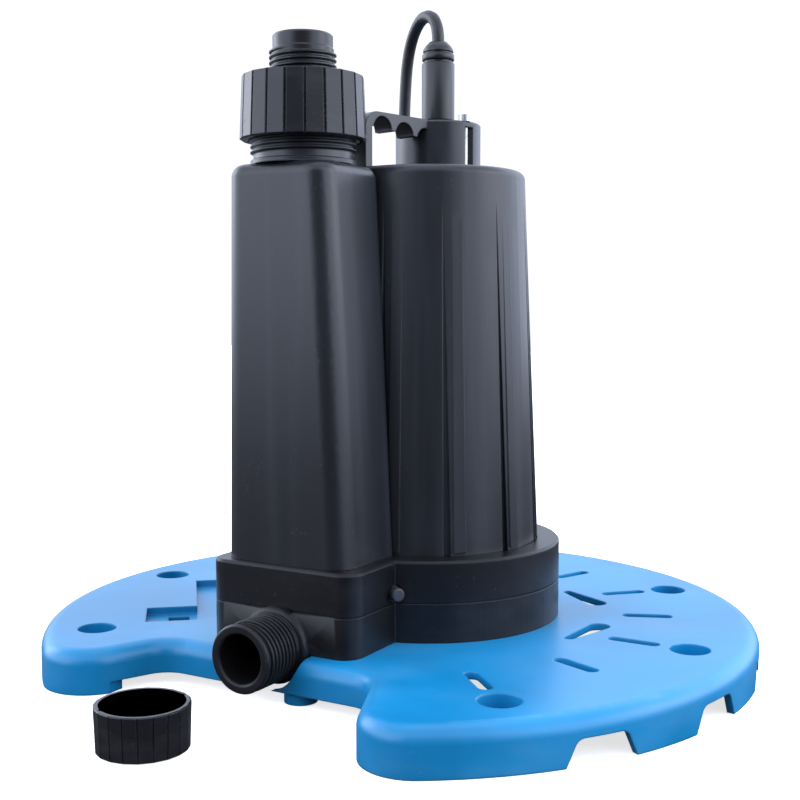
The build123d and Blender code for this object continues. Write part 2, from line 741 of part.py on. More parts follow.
with BuildPart() as cap_washer:
    with BuildSketch(Plane.XY.offset(CAP_FLOOR)):
        with Locations(CAP_C):
            Circle(HOSE_R - 0.2)
            Circle(8.0, mode=Mode.SUBTRACT)
    extrude(amount=2)
save(cap_washer.part, "cap_washer")

# ---------------------------------------------------------------- cord entry, handle and gland
DRUM_BOTTOM = HOUSING_Z[1]
with BuildPart() as cord_drum:
    with BuildSketch(Plane.XY.offset(DRUM_BOTTOM)):
        with Locations(DRUM_C):
            Circle(DRUM_R)
    extrude(amount=DRUM_TOP - DRUM_BOTTOM)
    chamfer(cord_drum.faces().sort_by(Axis.Z)[-1].edges(), 0.7)
    with BuildSketch(Plane.XY.offset(DRUM_BOTTOM)):
        with Locations(DRUM_C):
            Circle(11.5)
    extrude(amount=DRUM_TOP - DRUM_BOTTOM - 3, mode=Mode.SUBTRACT)
    with BuildSketch(Plane.XY.offset(DRUM_BOTTOM + 3)):
        with Locations(*[polar(19.5, angle, DRUM_C) for angle in DRUM_SCREW_ANGLES]):
            Circle(2.7)
    extrude(amount=DRUM_TOP - DRUM_BOTTOM - 5.5, mode=Mode.SUBTRACT)
    with BuildSketch(Plane.XY.offset(DRUM_BOTTOM)):
        with Locations(*DRUM_SCREWS):
            Circle(1.7)
        with Locations(DRUM_C):
            Circle(5.0)
    extrude(amount=40, mode=Mode.SUBTRACT)
save(cord_drum.part, "cord_drum")

with BuildPart() as drum_screws:
    with BuildSketch(Plane.XY.offset(HOUSING_Z[1] - HOUSING_WALL + 0.4)):
        with Locations(*DRUM_SCREWS):
            Circle(1.5)
    extrude(amount=DRUM_TOP - HOUSING_Z[1] + HOUSING_WALL)
    with BuildSketch(Plane.XY.offset(DRUM_TOP)):
        with Locations(*DRUM_SCREWS):
            Circle(2.6)
    extrude(amount=3)
    with BuildSketch(Plane.XY.offset(DRUM_TOP + 1.6)):
        with Locations(*DRUM_SCREWS):
            RegularPolygon(1.3, 6)
    extrude(amount=3, mode=Mode.SUBTRACT)
save(drum_screws.part, "drum_screws")

HANDLE_FACE, HANDLE_T = -0.8, 10.0
HANDLE_OUT = (cos(radians(HANDLE_ANGLE)), sin(radians(HANDLE_ANGLE)), 0)
HANDLE_SIDE = Plane(origin=(-HANDLE_OUT[1] * HANDLE_FACE, HANDLE_OUT[0] * HANDLE_FACE, 0), x_dir=HANDLE_OUT,
                    z_dir=(HANDLE_OUT[1], -HANDLE_OUT[0], 0))
with BuildPart() as carry_handle:
    with BuildSketch(HANDLE_SIDE) as side:
        with BuildLine():
            Polyline(
                (-14, DRUM_TOP), (37.4, DRUM_TOP), (37.4, HOUSING_Z[1]), (33.6, HOUSING_Z[1]),
                (33.6, 225.6), (-14, 222.4), close=True,
            )
        make_face()
        fillet(side.vertices().filter_by(lambda v: v.X > 37 and v.Y > 230), 7)
        for out, z in ((27.3, 224.6), (13.9, 223.4), (0.5, 222.4)):
            with Locations((out, z)):
                Circle(5.6, mode=Mode.SUBTRACT)
    extrude(amount=HANDLE_T)
    with BuildSketch(Plane.XY.offset(DRUM_BOTTOM)):
        with Locations(DRUM_C):
            Circle(DRUM_R)
    extrude(amount=40, mode=Mode.SUBTRACT)
save(carry_handle.part, "carry_handle")
print("handle", carry_handle.part.is_valid, len(carry_handle.part.solids()))

GLAND_BASE = DRUM_TOP + 2
with BuildPart() as cable_gland:
    with BuildSketch(Plane.XY.offset(DRUM_TOP - 8)):
        with Locations(DRUM_C):
            Circle(4.9)
    extrude(amount=8)
    with BuildSketch(Plane.XY.offset(DRUM_TOP)):
        with Locations(DRUM_C):
            Circle(6.7)
    extrude(amount=GLAND_BASE - DRUM_TOP)
    with BuildSketch(Plane.XY.offset(DRUM_TOP - 9)):
        with Locations(DRUM_C):
            Circle(CORD_D / 2)
    extrude(amount=20, mode=Mode.SUBTRACT)
save(cable_gland.part, "cable_gland")

CORD_EXIT = 268.5
with BuildPart() as strain_relief:
    with BuildSketch(Plane.XZ) as half:
        with BuildLine():
            Polyline(
                (0, GLAND_BASE), (GLAND_R, GLAND_BASE), (GLAND_R - 0.3, GLAND_TOP - 2), (6.0, GLAND_TOP - 1.6),
                (6.0, GLAND_TOP - 0.4), (6.9, GLAND_TOP), (6.7, GLAND_TOP + 3.4), (5.6, GLAND_TOP + 3.8),
                (5.4, GLAND_TOP + 4.8), (4.6, CORD_EXIT), (0, CORD_EXIT), close=True,
            )
        make_face()
    revolve(axis=Axis.Z)
strain_relief.part.position = (*DRUM_C, 0)
save(strain_relief.part, "strain_relief")

# ---------------------------------------------------------------- power cord
CORD_ROUTE = [
    (-5.5, 19.5, 268.5), (-5.5, 19.5, 278.5), (-18.0, 27.0, 283.5), (-29.5, 34.5, 270.5), (-33.5, 38.0, 244.0),
    (-35.5, 40.5, 206.0), (-38.0, 43.0, 152.0), (-42.0, 47.0, 100.0), (-49.0, 53.0, 61.0), (-52.0, 62.0, 30.0),
    (-50.0, 86.0, 21.5), (-51.0, 114.0, 22.0), (-55.0, 139.0, 24.0), (-60.0, 157.0, 12.0), (-65.0, 174.0, 3.0),
    (-71.0, 198.0, 3.2),
]


def route_radii(points):
    """Arc radius for each corner of a route: 0.45 of the shorter run over the tangent of half the turn."""
    radii = []
    for before, at, after in zip(points, points[1:], points[2:]):
        run_in, run_out = Vector(*at) - Vector(*before), Vector(*after) - Vector(*at)
        turn = run_in.get_angle(run_out)
        radii.append(0.45 * min(run_in.length, run_out.length) / tan(radians(turn / 2)))
    return radii


radii = route_radii(CORD_ROUTE)
print("cord radii in diameters", [round(r / CORD_D, 1) for r in radii])
print("cord runs", [round((Vector(*b) - Vector(*a)).length) for a, b in zip(CORD_ROUTE, CORD_ROUTE[1:])])
with BuildPart() as power_cord:
    with BuildLine() as path:
        FilletPolyline(*CORD_ROUTE, radius=radii)
    with BuildSketch(Plane(CORD_ROUTE[0], z_dir=(0, 0, 1))):
        Circle(CORD_D / 2)
    sweep()
save(power_cord.part, "power_cord")
cord_length = sum(edge.length for edge in path.edges())
print("cord length", cord_length, "volume ratio", power_cord.part.volume / (pi * CORD_D**2 / 4 * cord_length))

TIE_THICK, TIE_EASE = 0.9, 0.7
COIL_Z = (TIE_THICK + TIE_EASE, TIE_THICK + TIE_EASE + COIL_SIDE)
with BuildPart() as cord_coil:
    with BuildSketch(Plane((*COIL_C, COIL_Z[0]))):
        Circle(COIL_MID_R + COIL_SIDE / 2)
        Circle(COIL_MID_R - COIL_SIDE / 2, mode=Mode.SUBTRACT)
    extrude(amount=COIL_SIDE)
    fillet(cord_coil.edges().filter_by(GeomType.CIRCLE), 2.7)
save(cord_coil.part, "cord_coil")

TIE_ANGLE = 100.0
with BuildPart() as coil_tie:
    with BuildSketch(upright(TIE_ANGLE + 90, 0, COIL_C)):
        with Locations((-COIL_MID_R, (COIL_Z[0] + COIL_Z[1]) / 2)):
            RectangleRounded(COIL_SIDE + 2 * (TIE_EASE + TIE_THICK), COIL_SIDE + 2 * (TIE_EASE + TIE_THICK), 3.8)
            RectangleRounded(COIL_SIDE + 2 * TIE_EASE, COIL_SIDE + 2 * TIE_EASE, 2.9, mode=Mode.SUBTRACT)
    extrude(amount=6, both=True)
save(coil_tie.part, "coil_tie")

PLUG_ANGLE = 285.0         # place of the plug on the coil, lying along it
PLUG_W, PLUG_H, PLUG_L = 25.0, 20.0, 30.0
PLUG_PLANE = upright(PLUG_ANGLE - 90, -16, COIL_C)
PLUG_AT = (38, COIL_Z[1] + PLUG_H / 2)
with BuildPart() as plug_body:
    with BuildSketch(PLUG_PLANE):
        with Locations(PLUG_AT):
            RectangleRounded(PLUG_W, PLUG_H, 6)
    extrude(amount=PLUG_L / 2, both=True)
    with BuildSketch(PLUG_PLANE.offset(PLUG_L / 2)):
        with Locations(PLUG_AT):
            RectangleRounded(PLUG_W - 3, PLUG_H - 3, 6)
    with BuildSketch(PLUG_PLANE.offset(PLUG_L / 2 + 8)):
        with Locations(PLUG_AT):
            Circle(5.5)
    loft()
    with BuildSketch(PLUG_PLANE.offset(PLUG_L / 2 + 8)):
        with Locations(PLUG_AT):
            Circle(5.5)
    with BuildSketch(PLUG_PLANE.offset(PLUG_L / 2 + 26)):
        with Locations(PLUG_AT):
            Circle(3.8)
    loft()
save(plug_body.part, "plug_body")

with BuildPart() as plug_blades:
    with BuildSketch(PLUG_PLANE.offset(-PLUG_L / 2)):
        with Locations((PLUG_AT[0] - 6.35, PLUG_AT[1] + 2), (PLUG_AT[0] + 6.35, PLUG_AT[1] + 2)):
            Rectangle(1.6, 6.3)
    extrude(amount=-17)
    with BuildSketch(PLUG_PLANE.offset(-PLUG_L / 2)):
        with Locations((PLUG_AT[0], PLUG_AT[1] - 6)):
            Circle(2.4)
    extrude(amount=-20)
save(plug_blades.part, "plug_blades")
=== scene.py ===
"""Looks of the submersible utility pump: pieces, finishes, floor, light and camera around the fixed CAD frame.

Metres throughout. The origin is the motor axis on the floor, +Z is up and the side outlet points along -Y.
"""

from __future__ import annotations

import json
import logging
import math
from dataclasses import dataclass, field
from enum import Enum
from typing import Iterable, Sequence

import bmesh
import bpy
from mathutils import Matrix, Vector

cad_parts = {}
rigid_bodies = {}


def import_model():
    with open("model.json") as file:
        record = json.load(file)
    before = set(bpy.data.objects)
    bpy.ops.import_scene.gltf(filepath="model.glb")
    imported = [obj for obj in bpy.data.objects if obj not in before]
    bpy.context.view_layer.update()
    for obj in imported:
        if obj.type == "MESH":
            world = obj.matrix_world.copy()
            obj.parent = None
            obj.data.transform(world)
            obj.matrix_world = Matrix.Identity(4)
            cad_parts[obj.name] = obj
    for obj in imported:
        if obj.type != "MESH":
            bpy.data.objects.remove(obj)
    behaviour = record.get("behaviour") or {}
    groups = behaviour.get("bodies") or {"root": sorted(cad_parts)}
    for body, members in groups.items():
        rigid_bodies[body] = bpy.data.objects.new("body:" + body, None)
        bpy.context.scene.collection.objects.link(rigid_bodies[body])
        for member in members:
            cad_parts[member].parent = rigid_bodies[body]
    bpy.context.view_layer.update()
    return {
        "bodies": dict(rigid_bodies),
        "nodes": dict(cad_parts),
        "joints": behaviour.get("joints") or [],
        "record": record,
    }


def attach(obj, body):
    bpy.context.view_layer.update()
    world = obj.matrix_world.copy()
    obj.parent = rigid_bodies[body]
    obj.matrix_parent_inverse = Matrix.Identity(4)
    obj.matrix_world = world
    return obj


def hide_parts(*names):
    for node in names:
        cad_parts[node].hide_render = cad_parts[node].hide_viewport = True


LOG = logging.getLogger("pump")
MM = 0.001
Rgb = tuple[float, float, float]
Point = tuple[float, float, float]


# ---------------------------------------------------------------- shader maths
class Value:
    """A shader socket whose Python operators add Math nodes."""

    def __init__(self, sheet: "Sheet", socket: bpy.types.NodeSocket) -> None:
        """Wraps one output socket.

        Args:
            sheet: The node sheet that the socket belongs to.
            socket: The output socket.
        """
        self.sheet = sheet
        self.socket = socket

    def _maths(self, operation: str, *others: "Value | float") -> "Value":
        """Adds one Math node on this value.

        Args:
            operation: The Math node's operation.
            others: The other values or numbers, in order.

        Returns:
            The node's result.
        """
        return self.sheet.maths(operation, self, *others)

    def __add__(self, other: "Value | float") -> "Value":
        """Sum."""
        return self._maths("ADD", other)

    def __radd__(self, other: float) -> "Value":
        """Sum with the number first."""
        return self._maths("ADD", other)

    def __sub__(self, other: "Value | float") -> "Value":
        """Difference."""
        return self._maths("SUBTRACT", other)

    def __rsub__(self, other: float) -> "Value":
        """Difference with the number first."""
        return self.sheet.maths("SUBTRACT", other, self)

    def __mul__(self, other: "Value | float") -> "Value":
        """Product."""
        return self._maths("MULTIPLY", other)

    def __rmul__(self, other: float) -> "Value":
        """Product with the number first."""
        return self._maths("MULTIPLY", other)

    def clamped(self) -> "Value":
        """The value kept between 0 and 1."""
        return self.sheet.node("ShaderNodeClamp", {}, {"Value": self})["Result"]

    def span(self, low: float, high: float, out_low: float = 0.0, out_high: float = 1.0) -> "Value":
        """Maps one range onto another, smoothly and clamped.

        Args:
            low: Start of the range read.
            high: End of the range read.
            out_low: Result at its start.
            out_high: Result at its end.

        Returns:
            The mapped value.
        """
        return self.sheet.node(
            "ShaderNodeMapRange", {"interpolation_type": "SMOOTHSTEP"},
            {"Value": self, "From Min": low, "From Max": high, "To Min": out_low, "To Max": out_high},
        )["Result"]


class Made:
    """The outputs of a node, found by name."""

    def __init__(self, sheet: "Sheet", node: bpy.types.Node) -> None:
        """Keeps the node.

        Args:
            sheet: The sheet it is on.
            node: The node.
        """
        self.sheet = sheet
        self.node = node

    def __getitem__(self, name: str | int) -> Value:
        """The output of that name or number."""
        return Value(self.sheet, self.node.outputs[name])


class Sheet:
    """A node tree under construction."""

    def __init__(self, tree: bpy.types.NodeTree) -> None:
        """Clears the tree.

        Args:
            tree: The material's or the world's node tree.
        """
        self.tree = tree
        tree.nodes.clear()

    def node(self, kind: str, settings: dict, values: dict) -> Made:
        """Adds a node: its settings first, then what goes into its sockets.

        Args:
            kind: The node's type name.
            settings: Properties of the node.
            values: Numbers, colours, vectors or Values by socket name or number.

        Returns:
            The node's outputs.
        """
        made = self.tree.nodes.new(kind)
        for name, setting in settings.items():
            setattr(made, name, setting)
        for name, value in values.items():
            socket = made.inputs[name]
            if isinstance(value, Value):
                self.tree.links.new(value.socket, socket)
            else:
                socket.default_value = value
        return Made(self, made)

    def maths(self, operation: str, *values: Value | float) -> Value:
        """Adds a Math node.

        Args:
            operation: Its operation.
            values: Its inputs, in order.

        Returns:
            Its result.
        """
        return self.node("ShaderNodeMath", {"operation": operation}, dict(enumerate(values)))[0]

    def mix(self, share: Value | float, first: Value | Sequence[float], second: Value | Sequence[float]) -> Value:
        """Mixes two colours.

        Args:
            share: How much of the second there is.
            first: The first colour.
            second: The second colour.

        Returns:
            The mixed colour.
        """
        return self.node("ShaderNodeMix", {"data_type": "RGBA"}, {0: share, 6: first, 7: second})[2]

    def place(self, stretch: Point = (1.0, 1.0, 1.0), shift: Point = (0.0, 0.0, 0.0)) -> Value:
        """Object coordinates, moved and stretched.

        Args:
            stretch: Factor on each axis.
            shift: What is added on each axis.

        Returns:
            The coordinates.
        """
        here = self.node("ShaderNodeTexCoord", {}, {})["Object"]
        return self.node("ShaderNodeMapping", {}, {"Vector": here, "Location": shift, "Scale": stretch})["Vector"]

    def noise(self, at: Value, scale: float, detail: float = 2.0, roughness: float = 0.5) -> Value:
        """Noise between 0 and 1.

        Args:
            at: Where it is read.
            scale: Its fineness, per metre.
            detail: Its octaves.
            roughness: How strong the finer octaves are.

        Returns:
            The noise value.
        """
        return self.node("ShaderNodeTexNoise", {}, {"Vector": at, "Scale": scale, "Detail": detail,
                                                    "Roughness": roughness})[0]


def grey(level: float) -> tuple[float, float, float, float]:
    """An opaque neutral colour."""
    return (level, level, level, 1.0)


def opaque(colour: Rgb) -> tuple[float, float, float, float]:
    """A colour with full alpha."""
    return (*colour, 1.0)


# ---------------------------------------------------------------- finishes
class Grain(Enum):
    """What covers a moulded surface, as height of the fine texture in metres."""

    POLISHED = 0.000008
    SATIN = 0.00003
    SPARKED = 0.00007


@dataclass(frozen=True)
class MouldedPlastic:
    """Injection-moulded plastic with rounded edges, a fine mould texture, flow marks, scuffs and dust.

    Attributes:
        name: Name of the finish.
        colour: Colour in the mass.
        scuffed: Colour of rubbed edges and of dust.
        roughness: Mean roughness.
        grain: Mould texture.
        edge: Radius that sharp corners look rounded by, in metres.
        flow: Stretch of the flow marks on each axis.
        flow_depth: Strength of the flow marks, 0 to 1.
        wear: Strength of the lighter edges, 0 to 1.
        dust: Strength of the dust specks, 0 to 1.
        shift: Shift of the patterns, so that pieces of one finish differ.
        shine: Strength of its mirror reflection, 0.5 for plain plastic.
    """

    name: str
    colour: Rgb
    scuffed: Rgb
    roughness: float = 0.4
    grain: Grain = Grain.SATIN
    edge: float = 0.0006
    flow: Point = (90.0, 90.0, 4.0)
    flow_depth: float = 0.4
    wear: float = 0.35
    dust: float = 0.3
    shift: Point = (0.0, 0.0, 0.0)
    shine: float = 0.5

    def material(self) -> bpy.types.Material:
        """Builds the material.

        Returns:
            The material.
        """
        made = bpy.data.materials.new(self.name)
        made.use_nodes = True
        sheet = Sheet(made.node_tree)
        here = sheet.place(shift=self.shift)
        cloud = sheet.noise(here, 11.0, 4.0, 0.55)
        patch = sheet.noise(here, 46.0, 3.0, 0.6)
        flow = sheet.noise(sheet.place(self.flow, self.shift), 1.0, 3.0, 0.55)
        fine = sheet.noise(here, 1500.0, 2.0, 0.6)
        specks = sheet.noise(here, 620.0, 1.0, 0.5).span(0.69, 0.76) * patch.span(0.4, 0.7)
        rounded = sheet.node("ShaderNodeBevel", {"samples": 4}, {"Radius": self.edge})["Normal"]
        flat = sheet.node("ShaderNodeNewGeometry", {}, {})["Normal"]
        turn = sheet.node("ShaderNodeVectorMath", {"operation": "DOT_PRODUCT"}, {0: rounded, 1: flat})["Value"]
        rubbed = (1.0 - turn).span(0.01, 0.2) * patch.span(0.25, 0.65)
        deep = sheet.mix(cloud.span(0.3, 0.72), opaque(tuple(0.8 * c for c in self.colour)),
                         opaque(tuple(min(1.0, 1.22 * c) for c in self.colour)))
        marked = sheet.mix(flow.span(0.45, 0.75) * (0.35 * self.flow_depth), deep, opaque(self.scuffed))
        worn = sheet.mix(rubbed * self.wear, marked, opaque(self.scuffed))
        dusty = sheet.mix(specks * self.dust, worn, opaque(self.scuffed))
        rough = (cloud * 0.1 + flow * (0.12 * self.flow_depth) + rubbed * 0.08 + specks * 0.2
                 + (self.roughness - 0.05 - 0.06 * self.flow_depth)).clamped()
        height = fine + flow * (0.5 * self.flow_depth)
        bumped = sheet.node("ShaderNodeBump", {}, {"Strength": 0.55, "Distance": self.grain.value, "Height": height,
                                                   "Normal": rounded})["Normal"]
        shader = sheet.node("ShaderNodeBsdfPrincipled", {}, {
            "Base Color": dusty, "Roughness": rough, "Normal": bumped, "IOR": 1.5,
            "Specular IOR Level": self.shine,
        })
        sheet.node("ShaderNodeOutputMaterial", {}, {"Surface": shader[0]})
        return made


@dataclass(frozen=True)
class Metal:
    """Bare or plated metal with turning marks and tarnish.

    Attributes:
        name: Name of the finish.
        colour: Colour of the clean metal.
        tarnish: Colour of its dull patches.
        roughness: Roughness of the clean metal.
        lines: Stretch of the working marks on each axis.
        metallic: How metallic it is.
    """

    name: str
    colour: Rgb
    tarnish: Rgb
    roughness: float = 0.3
    lines: Point = (40.0, 40.0, 1400.0)
    metallic: float = 1.0

    def material(self) -> bpy.types.Material:
        """Builds the material.

        Returns:
            The material.
        """
        made = bpy.data.materials.new(self.name)
        made.use_nodes = True
        sheet = Sheet(made.node_tree)
        here = sheet.place()
        dull = sheet.noise(here, 130.0, 4.0, 0.62).span(0.45, 0.7)
        marks = sheet.noise(sheet.place(self.lines), 1.0, 2.0, 0.6)
        rounded = sheet.node("ShaderNodeBevel", {"samples": 4}, {"Radius": 0.0003})["Normal"]
        colour = sheet.mix(dull * 0.6, opaque(self.colour), opaque(self.tarnish))
        rough = (marks * 0.12 + dull * 0.2 + (self.roughness - 0.06)).clamped()
        bumped = sheet.node("ShaderNodeBump", {}, {"Strength": 0.4, "Distance": 0.00002, "Height": marks,
                                                   "Normal": rounded})["Normal"]
        shader = sheet.node("ShaderNodeBsdfPrincipled", {}, {
            "Base Color": colour, "Roughness": rough, "Metallic": self.metallic, "Normal": bumped,
        })
        sheet.node("ShaderNodeOutputMaterial", {}, {"Surface": shader[0]})
        return made


FINISHES: dict[str, MouldedPlastic | Metal] = {
    finish.name: finish
    for finish in (
        MouldedPlastic("housing_black", (0.009, 0.0095, 0.012), (0.08, 0.09, 0.105), 0.33, Grain.SATIN, 0.0007,
                       (70.0, 70.0, 2.5), 0.55, 0.35, 0.25),
        MouldedPlastic("riser_black", (0.009, 0.0095, 0.012), (0.08, 0.09, 0.105), 0.31, Grain.SATIN, 0.0008,
                       (60.0, 60.0, 2.2), 0.6, 0.3, 0.3, (0.3, 0.1, 0.2)),
        MouldedPlastic("casing_black", (0.007, 0.0065, 0.007), (0.08, 0.08, 0.085), 0.34, Grain.SPARKED, 0.0009,
                       (30.0, 30.0, 60.0), 0.3, 0.4, 0.35, (0.5, 0.4, 0.1), 0.3),
        MouldedPlastic("handle_black", (0.012, 0.013, 0.016), (0.11, 0.12, 0.135), 0.3, Grain.SATIN, 0.0007,
                       (60.0, 60.0, 20.0), 0.4, 0.4, 0.3, (0.2, 0.9, 0.3)),
        MouldedPlastic("fitting_black", (0.009, 0.009, 0.01), (0.09, 0.09, 0.095), 0.28, Grain.SATIN, 0.0004,
                       (40.0, 40.0, 160.0), 0.35, 0.45, 0.3, (0.7, 0.2, 0.6), 0.42),
        MouldedPlastic("rubber_black", (0.011, 0.011, 0.012), (0.09, 0.09, 0.092), 0.34, Grain.SATIN, 0.0004,
                       (50.0, 50.0, 30.0), 0.3, 0.3, 0.4, (0.1, 0.6, 0.8)),
        MouldedPlastic("cord_black", (0.012, 0.012, 0.013), (0.1, 0.1, 0.105), 0.42, Grain.POLISHED, 0.0003,
                       (120.0, 120.0, 120.0), 0.4, 0.2, 0.4, (0.8, 0.7, 0.2)),
        MouldedPlastic("tie_black", (0.02, 0.02, 0.02), (0.12, 0.12, 0.12), 0.5, Grain.SATIN, 0.0003,
                       (80.0, 80.0, 80.0), 0.3, 0.3, 0.2),
        MouldedPlastic("plug_black", (0.015, 0.015, 0.016), (0.12, 0.12, 0.125), 0.48, Grain.SPARKED, 0.0007,
                       (60.0, 60.0, 60.0), 0.3, 0.35, 0.35, (0.4, 0.3, 0.9)),
        MouldedPlastic("base_blue", (0.003, 0.228, 0.47), (0.24, 0.46, 0.68), 0.33, Grain.SATIN, 0.0011,
                       (22.0, 22.0, 50.0), 0.35, 0.3, 0.12),
        MouldedPlastic("plastic_grey", (0.03, 0.03, 0.032), (0.16, 0.16, 0.165), 0.42, Grain.SATIN, 0.0005,
                       (60.0, 60.0, 60.0), 0.3, 0.3, 0.2),
        MouldedPlastic("seal_dark", (0.03, 0.03, 0.03), (0.14, 0.14, 0.14), 0.3, Grain.POLISHED, 0.0003,
                       (20.0, 20.0, 900.0), 0.4, 0.3, 0.1),
        MouldedPlastic("capacitor_shell", (0.72, 0.7, 0.64), (0.5, 0.46, 0.38), 0.45, Grain.SATIN, 0.0005,
                       (60.0, 60.0, 8.0), 0.4, 0.3, 0.2),
        Metal("brass", (0.83, 0.62, 0.27), (0.42, 0.28, 0.11), 0.25, (300.0, 300.0, 300.0)),
        Metal("steel", (0.6, 0.6, 0.61), (0.34, 0.33, 0.32), 0.28),
        Metal("cast_aluminium", (0.62, 0.63, 0.64), (0.42, 0.42, 0.42), 0.5, (900.0, 900.0, 900.0)),
        Metal("core_steel", (0.32, 0.33, 0.36), (0.2, 0.13, 0.09), 0.42, (20.0, 20.0, 2000.0)),
        Metal("winding_copper", (0.72, 0.3, 0.14), (0.36, 0.13, 0.05), 0.3, (900.0, 900.0, 60.0)),
    )
}


class PaintShop:
    """Makes each finish once and puts it on pieces."""

    def __init__(self, record: dict) -> None:
        """Reads which slot each CAD piece takes.

        Args:
            record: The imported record.
        """
        self.slots = {piece["node"]: piece["material_slot"] for piece in record["subparts"]}
        self.materials: dict[str, bpy.types.Material] = {}

    def finish(self, slot: str) -> bpy.types.Material:
        """The material of a slot, made the first time it is asked for."""
        if slot not in self.materials:
            self.materials[slot] = FINISHES[slot].material()
        return self.materials[slot]

    def dress(self, piece: bpy.types.Object, slot: str) -> None:
        """Puts a slot's finish on a new piece.

        Args:
            piece: The piece.
            slot: The record's material slot.
        """
        piece.data.materials.clear()
        piece.data.materials.append(self.finish(slot))

    def dress_frame(self, nodes: dict[str, bpy.types.Object]) -> None:
        """Gives every CAD piece its finish.

        Args:
            nodes: The CAD pieces by name.
        """
        for name, node in nodes.items():
            node.data.materials.clear()
            node.data.materials.append(self.finish(self.slots[name]))


